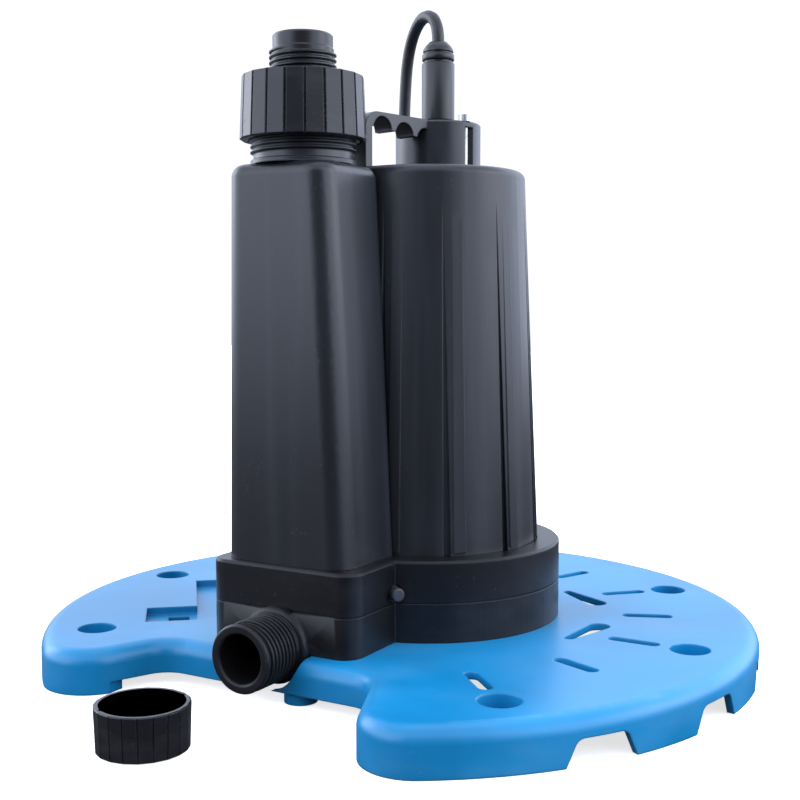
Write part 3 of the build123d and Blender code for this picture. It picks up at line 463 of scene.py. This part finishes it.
# ---------------------------------------------------------------- workshop
@dataclass
class Workbench:
    """A mesh being made, with the operations that the pieces share."""

    name: str
    bm: bmesh.types.BMesh = field(default_factory=bmesh.new)

    def lathe(self, profile: Iterable[tuple[float, float]], centre: tuple[float, float] = (0.0, 0.0),
              steps: int = 96, closed: bool = True) -> list[bmesh.types.BMVert]:
        """Spins a profile about an upright axis.

        Args:
            profile: (radius, height) pairs; a radius of 0 is a pole.
            centre: Where the axis stands.
            steps: Faces round the axis.
            closed: Whether the profile's end joins its start.

        Returns:
            The vertices made.
        """
        before = set(self.bm.verts)
        line = [self.bm.verts.new((centre[0] + r, centre[1], z)) for r, z in profile]
        pairs = list(zip(line, line[1:])) + ([(line[-1], line[0])] if closed else [])
        edges = [self.bm.edges.new(pair) for pair in pairs]
        bmesh.ops.spin(self.bm, geom=line + edges, cent=(*centre, 0), axis=(0, 0, 1), angle=2 * math.pi,
                       steps=steps, use_merge=True)
        made = [v for v in self.bm.verts if v not in before]
        bmesh.ops.remove_doubles(self.bm, verts=made, dist=1e-7)
        return [v for v in self.bm.verts if v not in before]

    def thread(self, tooth: "Tooth", start: float, end: float, centre: tuple[float, float] = (0.0, 0.0),
               phase: float = 0.0) -> None:
        """Winds a tooth up an upright axis as a right-handed helix that fades in and out.

        Args:
            tooth: The tooth's section.
            start: Height where it starts.
            end: Height where it ends.
            centre: Where the axis stands.
            phase: Share of a turn that the helix is shifted by.
        """
        turns = (end - start) / tooth.pitch
        steps = max(8, round(turns * tooth.steps))
        shift = phase * tooth.pitch
        corners = [self.bm.verts.new((centre[0] + r, centre[1], start + shift + z)) for r, z in tooth.section()]
        before = set(self.bm.verts) - set(corners)
        face = self.bm.faces.new(corners)
        bmesh.ops.spin(self.bm, geom=[face], cent=(*centre, 0), axis=(0, 0, 1), angle=2 * math.pi * turns,
                       dvec=(0, 0, (end - start) / steps), steps=steps)
        fade = tooth.steps / 5
        for k, vert in enumerate(v for v in self.bm.verts if v not in before):
            place = min(k // 4, steps - k // 4)
            if place < fade:
                flat = Vector((vert.co.x - centre[0], vert.co.y - centre[1]))
                share = (tooth.sunk + (flat.length - tooth.sunk) * (place / fade)) / flat.length
                vert.co.x, vert.co.y = centre[0] + flat.x * share, centre[1] + flat.y * share

    def ribbed_barrel(self, ribs: int, low: tuple[float, float], high: tuple[float, float],
                      centre: tuple[float, float], groove: float, depth: float) -> None:
        """Starts a mesh with a barrel of flat ribs and narrow grooves between them, open at both ends.

        Args:
            ribs: Number of ribs.
            low: Groove radius and height at the bottom.
            high: Groove radius and height at the top.
            centre: Where its axis stands.
            groove: Half the width of a groove.
            depth: How far the ribs stand out.
        """
        middle = Matrix.Translation((*centre, (low[1] + high[1]) / 2))
        bmesh.ops.create_cone(self.bm, cap_ends=False, segments=ribs, radius1=low[0], radius2=high[0],
                              depth=high[1] - low[1], matrix=middle)
        bmesh.ops.inset_individual(self.bm, faces=self.bm.faces[:], thickness=groove, depth=depth)
        rims = [e for e in self.bm.edges if e.is_boundary]
        bmesh.ops.subdivide_edges(self.bm, edges=rims, cuts=3)

    def drum_bore(self, profile: Iterable[tuple[float, float]], centre: tuple[float, float], steps: int) -> None:
        """Spins an open profile inside a barrel and joins both to it by flat rims.

        Args:
            profile: (radius, height) pairs from one rim to the other, or to a pole.
            centre: Where the axis stands.
            steps: Faces round the axis.
        """
        outer = [e for e in self.bm.edges if e.is_boundary]
        self.lathe(profile, centre, steps, closed=False)
        inner = [e for e in self.bm.edges if e.is_boundary and e not in set(outer)]
        for ring in self._rings(outer):
            height = sum(v.co.z for e in ring for v in e.verts) / (2 * len(ring))
            mates = [e for e in inner if abs(e.verts[0].co.z - height) < 0.0004]
            if mates:
                bmesh.ops.bridge_loops(self.bm, edges=ring + mates)
            else:
                bmesh.ops.edgeloop_fill(self.bm, edges=ring)

    @staticmethod
    def _rings(edges: Iterable[bmesh.types.BMEdge]) -> list[list[bmesh.types.BMEdge]]:
        """Sorts level rings of edges by their height.

        Args:
            edges: Edges of one or more level rings.

        Returns:
            One list for each ring.
        """
        rings: dict[int, list[bmesh.types.BMEdge]] = {}
        for edge in edges:
            rings.setdefault(round(edge.verts[0].co.z * 10000), []).append(edge)
        return list(rings.values())

    def cut_copy(self, node: bpy.types.Object, at: Point, facing: Point) -> None:
        """Takes a copy of a CAD piece's shape, cut off past a plane and closed there by a flat ring.

        Args:
            node: The CAD piece.
            at: A point of the plane.
            facing: The side of the plane that is taken away.
        """
        self.bm.from_mesh(node.data)
        bmesh.ops.remove_doubles(self.bm, verts=self.bm.verts[:], dist=2e-6)
        bmesh.ops.bisect_plane(self.bm, geom=self.bm.verts[:] + self.bm.edges[:] + self.bm.faces[:], dist=1e-7,
                               plane_co=at, plane_no=facing, clear_outer=True)
        rim = [e for e in self.bm.edges if e.is_boundary]
        bmesh.ops.bridge_loops(self.bm, edges=rim)

    def piece(self, turned: bool = True, crease: float = 32.0) -> bpy.types.Object:
        """Finishes the mesh as an object at the origin.

        Args:
            turned: Whether its faces are turned outwards.
            crease: Angle in degrees past which an edge stays sharp.

        Returns:
            The object.
        """
        bmesh.ops.dissolve_degenerate(self.bm, edges=self.bm.edges[:], dist=1e-8)
        if turned:
            bmesh.ops.recalc_face_normals(self.bm, faces=self.bm.faces[:])
        open_edges = sum(not e.is_manifold for e in self.bm.edges)
        mesh = bpy.data.meshes.new(self.name)
        self.bm.to_mesh(mesh)
        self.bm.free()
        mesh.shade_smooth()
        mesh.set_sharp_from_angle(angle=math.radians(crease))
        made = bpy.data.objects.new(self.name, mesh)
        bpy.context.scene.collection.objects.link(made)
        LOG.info("%s: %d faces, %d open edges", self.name, len(mesh.polygons), open_edges)
        return made


@dataclass(frozen=True)
class Tooth:
    """Section of a thread's tooth.

    Attributes:
        root: Radius of the wall that it stands on.
        crest: Radius of its crest; inside the wall for an internal thread.
        pitch: Height of one turn.
        foot: Height of the tooth at the wall.
        tip: Height of the crest.
        steps: Faces in one turn.
    """

    root: float
    crest: float
    pitch: float
    foot: float
    tip: float
    steps: int = 72

    @property
    def sunk(self) -> float:
        """Radius of the tooth's base, a little inside the wall."""
        return self.root - math.copysign(0.0003, self.crest - self.root)

    def section(self) -> list[tuple[float, float]]:
        """The four corners of the section as (radius, height) about its middle."""
        grown = self.foot / 2 + 0.0001
        return [(self.sunk, -grown), (self.crest, -self.tip / 2), (self.crest, self.tip / 2), (self.sunk, grown)]


# ---------------------------------------------------------------- studio
@dataclass
class Studio:
    """Camera, floor and light.

    Attributes:
        eye: Place of the camera.
        heading: Its turn about the vertical, in degrees.
        dip: How far it looks down, in degrees.
        lens: Focal length for a 36 mm sensor.
        floor_half: Half the side of the floor.
    """

    eye: Point = (0.25556, -0.46675, 0.153)
    heading: float = 30.0
    dip: float = 4.6
    lens: float = 54.63
    floor_half: float = 3.0

    def camera(self) -> None:
        """Sets up the camera."""
        data = bpy.data.cameras.new("camera")
        data.lens, data.sensor_width = self.lens, 36.0
        data.clip_start, data.clip_end = 0.01, 50.0
        made = bpy.data.objects.new("camera", data)
        made.location = self.eye
        made.rotation_euler = (math.radians(90.0 - self.dip), 0.0, math.radians(self.heading))
        bpy.context.scene.collection.objects.link(made)
        bpy.context.scene.camera = made

    def light(self) -> None:
        """A light tent: bright at the sides, darker in front and low down, plain white to the camera."""
        scene = bpy.context.scene
        scene.view_settings.view_transform = "Standard"
        scene.view_settings.look = "None"
        world = bpy.data.worlds.new("light_tent")
        world.use_nodes = True
        scene.world = world
        sheet = Sheet(world.node_tree)
        way = sheet.node("ShaderNodeTexCoord", {}, {})["Generated"]
        front = (math.sin(math.radians(self.heading)), -math.cos(math.radians(self.heading)), 0.0)
        facing = sheet.node("ShaderNodeVectorMath", {"operation": "DOT_PRODUCT"}, {0: way, 1: front})["Value"]
        height = sheet.node("ShaderNodeSeparateXYZ", {}, {"Vector": way})["Z"]
        sides = facing.span(0.66, 0.94, 2.9, 0.3) * facing.span(-0.95, -0.6, 0.47, 1.0)
        tent = sides * height.span(-0.3, 0.1, 0.25, 1.0) * height.span(0.4, 0.9, 1.0, 0.45)
        seen = sheet.node("ShaderNodeLightPath", {}, {})["Is Camera Ray"]
        strength = tent * (1.0 - seen) + seen * 1.05
        colour = sheet.mix(seen, (0.83, 0.92, 1.14, 1.0), grey(1.0))
        back = sheet.node("ShaderNodeBackground", {}, {"Color": colour, "Strength": strength})
        sheet.node("ShaderNodeOutputWorld", {}, {"Surface": back[0]})
        for name, place, size, power in (
            ("left_box", (-1.5, -0.1, 0.7), 0.8, 4.0),
            ("right_box", (1.4, 0.5, 0.7), 0.8, 3.0),
            ("top_box", (0.1, 0.1, 1.5), 1.0, 1.5),
        ):
            data = bpy.data.lights.new(name, "AREA")
            data.shape, data.size, data.energy = "SQUARE", size, power
            lamp = bpy.data.objects.new(name, data)
            lamp.location = place
            lamp.rotation_euler = (Vector((0, 0, 0.1)) - Vector(place)).to_track_quat("-Z", "Y").to_euler()
            scene.collection.objects.link(lamp)

    def floor(self) -> None:
        """A floor that glows plain white to the camera; to every other ray it is dark grey, a painted shade on the
        pump's low faces and in its reflections of the floor.
        """
        bench = Workbench("floor")
        bmesh.ops.create_grid(bench.bm, x_segments=4, y_segments=4, size=self.floor_half,
                              matrix=Matrix.Translation((0, 0, -0.0002)))
        made = bench.piece(turned=False)
        paper = bpy.data.materials.new("white_floor_with_painted_shade")
        paper.use_nodes = True
        sheet = Sheet(paper.node_tree)
        here = sheet.place()
        tone = sheet.noise(here, 3.0, 2.0).span(0.3, 0.7, 0.93, 0.96)
        colour = sheet.node("ShaderNodeCombineColor", {}, {"Red": tone, "Green": tone, "Blue": tone})["Color"]
        bright = sheet.node("ShaderNodeBsdfPrincipled", {}, {
            "Base Color": colour, "Roughness": 0.9, "Emission Color": grey(1.0), "Emission Strength": 0.72,
        })
        # Dark grey seen by every ray but the camera's: painted shade on the pump's low faces and painted dark
        # reflections of the floor.
        dim = sheet.node("ShaderNodeBsdfDiffuse", {}, {"Color": (0.09, 0.088, 0.086, 1.0)})
        seen = sheet.node("ShaderNodeLightPath", {}, {})["Is Camera Ray"]
        shader = sheet.node("ShaderNodeMixShader", {}, {0: seen, 1: dim[0], 2: bright[0]})
        sheet.node("ShaderNodeOutputMaterial", {}, {"Surface": shader[0]})
        made.data.materials.append(paper)


# ---------------------------------------------------------------- power cord
@dataclass
class PowerCord:
    """The mains lead: out of its gland, over and down behind the housing to a tied coil with its plug.

    Attributes:
        shop: Where finishes come from.
        diameter: Of the lead.
        route: Control points from the exit to the coil, in millimetres.
        coil_centre: Middle of the coil, in millimetres.
        outer: Radius of the outermost turn, in millimetres.
        inner: Radius of the innermost turn, in millimetres.
        floor_z: Height of the lowest turns' middle, in millimetres.
        per_turn: Control points in a turn.
        across: Turns in a layer.
        layers: Layers below the last one.
        wound: Number of turns.
        length: Length of the whole lead, in metres; not used.
        plug_angle: Where the plug lies on the coil, in degrees.
        plug_off: Distance of its axis from the coil's middle, in millimetres.
        plug_z: Height of its axis, in millimetres.
    """

    shop: PaintShop
    diameter: float = 0.0055
    route: tuple[Point, ...] = (
        (-5.5, 19.5, 268.5), (-5.5, 19.5, 278.5), (-18.0, 27.0, 283.5), (-29.5, 34.5, 270.5), (-33.5, 38.0, 244.0),
        (-35.5, 40.5, 206.0), (-38.0, 43.0, 152.0), (-42.0, 47.0, 100.0), (-49.0, 53.0, 61.0), (-52.0, 62.0, 30.0),
        (-50.0, 86.0, 21.5), (-51.0, 114.0, 22.0), (-55.0, 139.0, 24.0), (-60.0, 157.0, 12.0), (-65.0, 174.0, 3.0),
        (-71.0, 198.0, 3.2),
    )
    coil_centre: tuple[float, float] = (-124.0, 186.0)
    outer: float = 55.0
    inner: float = 33.0
    floor_z: float = 4.5
    per_turn: int = 12
    across: int = 5
    layers: int = 4
    wound: float = 24.27
    length: float = 7.3
    plug_angle: float = 285.0
    plug_off: float = 38.0
    plug_z: float = 39.6

    def turn(self, turns: float) -> tuple[float, float]:
        """Radius and height of the lead after a number of turns: layers wound inwards and outwards by turns.

        Args:
            turns: Turns since the lead reached the coil.

        Returns:
            Radius and height in millimetres.
        """
        pitch = self.diameter / MM
        layer, within = int(turns // self.across), turns % self.across
        level = self.across - 1.0
        inwards = layer % 2 == 0
        run = min(within, level) if layer < self.layers else within
        radius = self.outer - pitch * run if inwards else self.inner + pitch * run
        climb = max(0.0, within - level) if layer < self.layers else 0.0
        height = self.floor_z + pitch * (layer + math.sqrt(1.0 - (1.0 - climb) ** 2))
        return radius, height

    def control_points(self) -> list[Point]:
        """The whole line's control points.

        Returns:
            The points from the exit to inside the plug's boot, in metres.
        """
        points = list(self.route)
        cx, cy = self.coil_centre
        shrink = (6 + 2 * math.cos(2 * math.pi / self.per_turn)) / 8
        start = math.degrees(math.atan2(self.route[-1][1] - cy, self.route[-1][0] - cx))
        count = int(self.wound * self.per_turn)
        for k in range(1, count + 1):
            radius, height = self.turn(k / self.per_turn)
            angle = math.radians(start + 360.0 * k / self.per_turn)
            points.append((cx + radius / shrink * math.cos(angle), cy + radius / shrink * math.sin(angle), height))
        # over the innermost turns, then out across the top layer to the plug's boot
        top = points[-1][2]
        begin = start + 360.0 * count / self.per_turn
        for turned, radius, lift in ((22, 32.5, 2.6), (46, 33.5, 5.0), (70, 36.0, 6.2), (94, 40.5, 6.6),
                                     (114, 45.0, 8.0)):
            angle = math.radians(begin + turned)
            points.append((cx + radius * math.cos(angle), cy + radius * math.sin(angle), top + lift))
        along, outwards = self.plug_axes()
        for back in (26.0, 16.0, 2.0):
            spot = Vector((cx, cy, 0)) + outwards * self.plug_off - along * back
            points.append((spot.x, spot.y, self.plug_z - (1.2 if back > 20 else 0.0)))
        return [tuple(c * MM for c in p) for p in points]

    def plug_axes(self) -> tuple[Vector, Vector]:
        """Directions of the plug.

        Returns:
            The way its blades point, and the way from the coil's middle to its axis.
        """
        angle = math.radians(self.plug_angle)
        return Vector((-math.sin(angle), math.cos(angle), 0)), Vector((math.cos(angle), math.sin(angle), 0))

    def lead(self) -> bpy.types.Object:
        """Draws the lead.

        Returns:
            The curve object.
        """
        data = bpy.data.curves.new("mains_lead", "CURVE")
        data.dimensions = "3D"
        data.bevel_depth, data.bevel_resolution, data.resolution_u = self.diameter / 2, 3, 6
        data.use_fill_caps = True
        spline = data.splines.new("NURBS")
        points = self.control_points()
        spline.points.add(len(points) - 1)
        for point, place in zip(spline.points, points):
            point.co = (*place, 1.0)
        spline.order_u = 3
        spline.use_endpoint_u = True
        made = bpy.data.objects.new("mains_lead", data)
        bpy.context.scene.collection.objects.link(made)
        self.shop.dress(made, "cord_black")
        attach(made, "root")
        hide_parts("power_cord", "cord_coil")
        return made

    def plug(self) -> bpy.types.Object:
        """Moulds the plug: a rounded body with finger ridges and a ringed boot.

        Returns:
            The plug's body.
        """
        width, thickness, half_long = 0.0244, 0.0195, 0.0148
        ridge, ridge_depth = 0.003, 0.0008
        bench = Workbench("mains_plug")
        bm = bench.bm
        bmesh.ops.create_cube(bm, size=1.0, matrix=Matrix.Diagonal((width, thickness, 2 * half_long, 1.0)))
        upright = [e for e in bm.edges if abs(e.verts[0].co.z - e.verts[1].co.z) > 0.01]
        bmesh.ops.bevel(bm, geom=upright, offset=0.006, offset_type="OFFSET", affect="EDGES", segments=5,
                        profile=0.5, material=-1)
        for height in (-2 * ridge, -ridge, 0.0, ridge, 2 * ridge):
            bmesh.ops.bisect_plane(bm, geom=bm.verts[:] + bm.edges[:] + bm.faces[:], dist=1e-7,
                                   plane_co=(0, 0, height), plane_no=(0, 0, 1))
        for low in (-2 * ridge, 0.0):
            band = [f for f in bm.faces if abs(f.normal.z) < 0.1
                    and low < f.calc_center_median().z < low + ridge and abs(f.normal.x) > 0.5]
            if band:
                bmesh.ops.inset_region(bm, faces=band, thickness=0.0007, depth=-ridge_depth, use_even_offset=True)
        ends = [e for e in bm.edges if all(abs(abs(v.co.z) - half_long) < 1e-5 for v in e.verts)
                and len(e.link_faces) == 2
                and abs(e.link_faces[0].normal.z - e.link_faces[1].normal.z) > 0.5]
        bmesh.ops.bevel(bm, geom=ends, offset=0.0014, offset_type="OFFSET", affect="EDGES", segments=3,
                        profile=0.5, material=-1)
        boot = [(0.0, 0.0142), (0.0088, 0.0142), (0.0086, 0.0162), (0.0064, 0.0208)]
        for ring in range(4):
            z, r = 0.0215 + 0.0044 * ring, 0.0058 - 0.00042 * ring
            boot += [(r, z), (r, z + 0.0024), (r - 0.0011, z + 0.0028), (r - 0.0012, z + 0.0042)]
        boot += [(0.0035, 0.0396), (0.0034, 0.0408), (0.0, 0.0408)]
        bench.lathe(boot, steps=40, closed=False)
        along, outwards = self.plug_axes()
        place = Vector((*self.coil_centre, self.plug_z)) + outwards * self.plug_off + along * 16.0
        frame = Matrix((outwards, Vector((0, 0, 1)), -along)).transposed().to_4x4()
        bmesh.ops.transform(bm, matrix=Matrix.Translation(place * MM) @ frame, verts=bm.verts[:])
        made = bench.piece()
        self.shop.dress(made, "plug_black")
        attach(made, "root")
        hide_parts("plug_body")
        return made

    def strain_relief(self) -> bpy.types.Object:
        """Turns the tapered strain relief with its two rings.

        Returns:
            The strain relief.
        """
        bench = Workbench("lead_strain_relief")
        profile = [(0.0, 233.8), (7.3, 233.8), (7.3, 258.6), (7.1, 258.9), (6.3, 259.0), (6.3, 260.0), (7.0, 260.1),
                   (7.2, 260.4), (7.15, 262.6), (6.95, 262.9), (6.2, 263.0), (6.2, 263.7), (6.8, 263.9),
                   (6.7, 264.9), (5.9, 266.2), (4.8, 267.4), (3.9, 268.3), (3.2, 268.5), (0.0, 268.5)]
        bench.lathe([(r * MM, z * MM) for r, z in profile], (self.route[0][0] * MM, self.route[0][1] * MM), 72,
                    closed=False)
        made = bench.piece(crease=50.0)
        self.shop.dress(made, "rubber_black")
        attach(made, "root")
        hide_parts("strain_relief")
        return made

    def build(self, nodes: dict[str, bpy.types.Object]) -> None:
        """Makes the lead with the pieces on it.

        Args:
            nodes: The CAD pieces by name; not used.
        """
        lead, plug, relief = self.lead(), self.plug(), self.strain_relief()


# ---------------------------------------------------------------- fittings
@dataclass
class Fitting:
    """What the threaded fittings share.

    Attributes:
        shop: Where finishes come from.
        axis: Place of the fitting's upright axis.
        pitch: Pitch of the threads.
    """

    shop: PaintShop
    axis: tuple[float, float] = (-22.5 * MM, -62.0 * MM)
    pitch: float = 25.4 / 11.5 * MM

    def put(self, bench: Workbench, slot: str, body: str, *nodes: str, crease: float = 32.0) -> bpy.types.Object:
        """Finishes a fitting and puts it in its place.

        Args:
            bench: The bench with its mesh.
            slot: Its material slot.
            body: The body that it rides on.
            nodes: The CAD pieces that it stands for.
            crease: Angle in degrees past which an edge stays sharp.

        Returns:
            The fitting.
        """
        made = bench.piece(crease=crease)
        self.shop.dress(made, slot)
        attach(made, body)
        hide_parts(*nodes)
        return made


@dataclass
class TopUnion(Fitting):
    """The union on the riser: threaded neck, ribbed nut and hose adapter."""

    neck_crest: float = 21.08 * MM
    ribs: int = 20

    def neck(self, riser: bpy.types.Object) -> None:
        """The riser with a threaded neck.

        Args:
            riser: The riser's CAD piece.
        """
        bench = Workbench("riser_with_neck")
        bench.cut_copy(riser, (0, 0, 0.2073), (0, 0, 1))
        root = self.neck_crest - 1.25 * MM
        bench.lathe([(r * MM, z * MM) for r, z in (
            (16.6, 207.0), (21.0, 207.0), (21.0, 208.6), (20.6, 209.0), (root / MM, 209.2), (root / MM, 230.9),
            (root / MM - 0.7, 232.0), (17.0, 232.0), (16.6, 231.6))], self.axis, 96)
        bench.thread(Tooth(root, self.neck_crest - 0.02 * MM, self.pitch, 1.5 * MM, 0.45 * MM), 0.2106, 0.2300,
                     self.axis)
        made = self.put(bench, "riser_black", "root", "discharge_riser", crease=30.0)
        made.modifiers.new("even_shading", "WEIGHTED_NORMAL").keep_sharp = True

    def nut(self) -> None:
        """The ribbed union nut, threaded inside."""
        bench = Workbench("ribbed_union_nut")
        low, high = (24.35 * MM, 0.2168), (23.25 * MM, 0.2420)
        bench.ribbed_barrel(self.ribs, low, high, self.axis, 0.62 * MM, 0.95 * MM)
        profile = [(22.4, 216.8), (21.3, 217.9), (21.2, 218.2), (21.2, 237.9), (14.4, 237.9), (14.4, 241.4),
                   (15.0, 242.0)]
        bench.drum_bore([(r * MM, z * MM) for r, z in profile], self.axis, self.ribs * 4)
        bench.thread(Tooth(21.2 * MM, 20.6 * MM, self.pitch, 0.6 * MM, 0.3 * MM), 0.2191, 0.2305, self.axis,
                     phase=0.5 + (0.2106 - 0.2191) / self.pitch % 1.0)
        self.put(bench, "fitting_black", "nut", "union_nut", crease=24.0)

    def adapter(self) -> None:
        """The hose adapter with its garden-hose thread and pilot."""
        bench = Workbench("threaded_hose_adapter")
        profile = [(9.5, 234.2), (9.7, 234.0), (20.2, 234.0), (20.4, 234.2), (20.4, 237.4), (20.2, 237.6),
                   (13.9, 237.6), (13.9, 241.9), (13.6, 242.1), (12.35, 242.3), (12.35, 252.4), (12.0, 252.9),
                   (12.0, 257.5), (11.4, 258.2), (10.0, 258.2), (9.5, 257.7)]
        bench.lathe([(r * MM, z * MM) for r, z in profile], self.axis, 96)
        bench.thread(Tooth(12.35 * MM, 13.38 * MM, self.pitch, 1.6 * MM, 0.55 * MM), 0.2434, 0.2518, self.axis)
        self.put(bench, "fitting_black", "adapter", "hose_adapter")

    def build(self, nodes: dict[str, bpy.types.Object]) -> None:
        """Makes the union.

        Args:
            nodes: The CAD pieces by name.
        """
        self.neck(nodes["discharge_riser"])
        self.nut()
        self.adapter()


@dataclass
class SideOutlet(Fitting):
    """The threaded spigot low at the front."""

    height: float = 20.2 * MM
    across: float = -18.0 * MM

    def build(self, nodes: dict[str, bpy.types.Object]) -> None:
        """The lower casing with its threaded spigot.

        Args:
            nodes: The CAD pieces by name.
        """
        bench = Workbench("casing_with_spigot")
        bench.cut_copy(nodes["lower_casing"], (0, -0.0918, 0), (0, -1, 0))
        casing = set(bench.bm.verts)
        profile = [(9.55, 91.2), (12.5, 91.2), (12.5, 110.2), (13.2, 110.7), (13.25, 112.3), (12.6, 113.0),
                   (10.2, 113.0), (9.55, 112.3)]
        bench.lathe([(r * MM, z * MM) for r, z in profile], (0.0, 0.0), 96)
        bench.thread(Tooth(12.5 * MM, 13.38 * MM, self.pitch, 1.6 * MM, 0.8 * MM), 0.0935, 0.1096)
        frame = Matrix.Translation((self.across, 0, self.height)) @ Matrix.Rotation(math.radians(90), 4, "X")
        bmesh.ops.transform(bench.bm, matrix=frame, verts=[v for v in bench.bm.verts if v not in casing])
        made = self.put(bench, "casing_black", "root", "lower_casing", crease=30.0)
        made.modifiers.new("even_shading", "WEIGHTED_NORMAL").keep_sharp = True


@dataclass
class OutletCap(Fitting):
    """The loose ribbed cap on the floor, threaded inside."""

    axis: tuple[float, float] = (-25.0 * MM, -158.0 * MM)
    ribs: int = 20

    def build(self) -> None:
        """Makes the cap."""
        bench = Workbench("ribbed_outlet_cap")
        bench.ribbed_barrel(self.ribs, (15.65 * MM, 0.0), (16.25 * MM, 0.016), self.axis, 0.38 * MM, 0.6 * MM)
        profile = [(15.0, 16.0), (14.3, 15.8), (13.7, 14.9), (13.7, 3.0), (0.0, 3.0)]
        bench.drum_bore([(r * MM, z * MM) for r, z in profile], self.axis, self.ribs * 4)
        bench.thread(Tooth(13.7 * MM, 12.6 * MM, self.pitch, 1.8 * MM, 0.4 * MM), 0.0060, 0.0146, self.axis)
        self.put(bench, "fitting_black", "cap", "outlet_cap", crease=24.0)


def main() -> None:
    """Builds the scene."""
    logging.basicConfig(level=logging.INFO, format="%(name)s: %(message)s")
    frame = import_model()
    studio = Studio()
    studio.camera()
    shop = PaintShop(frame["record"])
    PowerCord(shop).build(frame["nodes"])
    studio.light()
    studio.floor()
    shop.dress_frame(frame["nodes"])
    TopUnion(shop).build(frame["nodes"])
    SideOutlet(shop).build(frame["nodes"])
    OutletCap(shop).build()
    LOG.info("pump built")


if __name__ == "__main__":
    main()
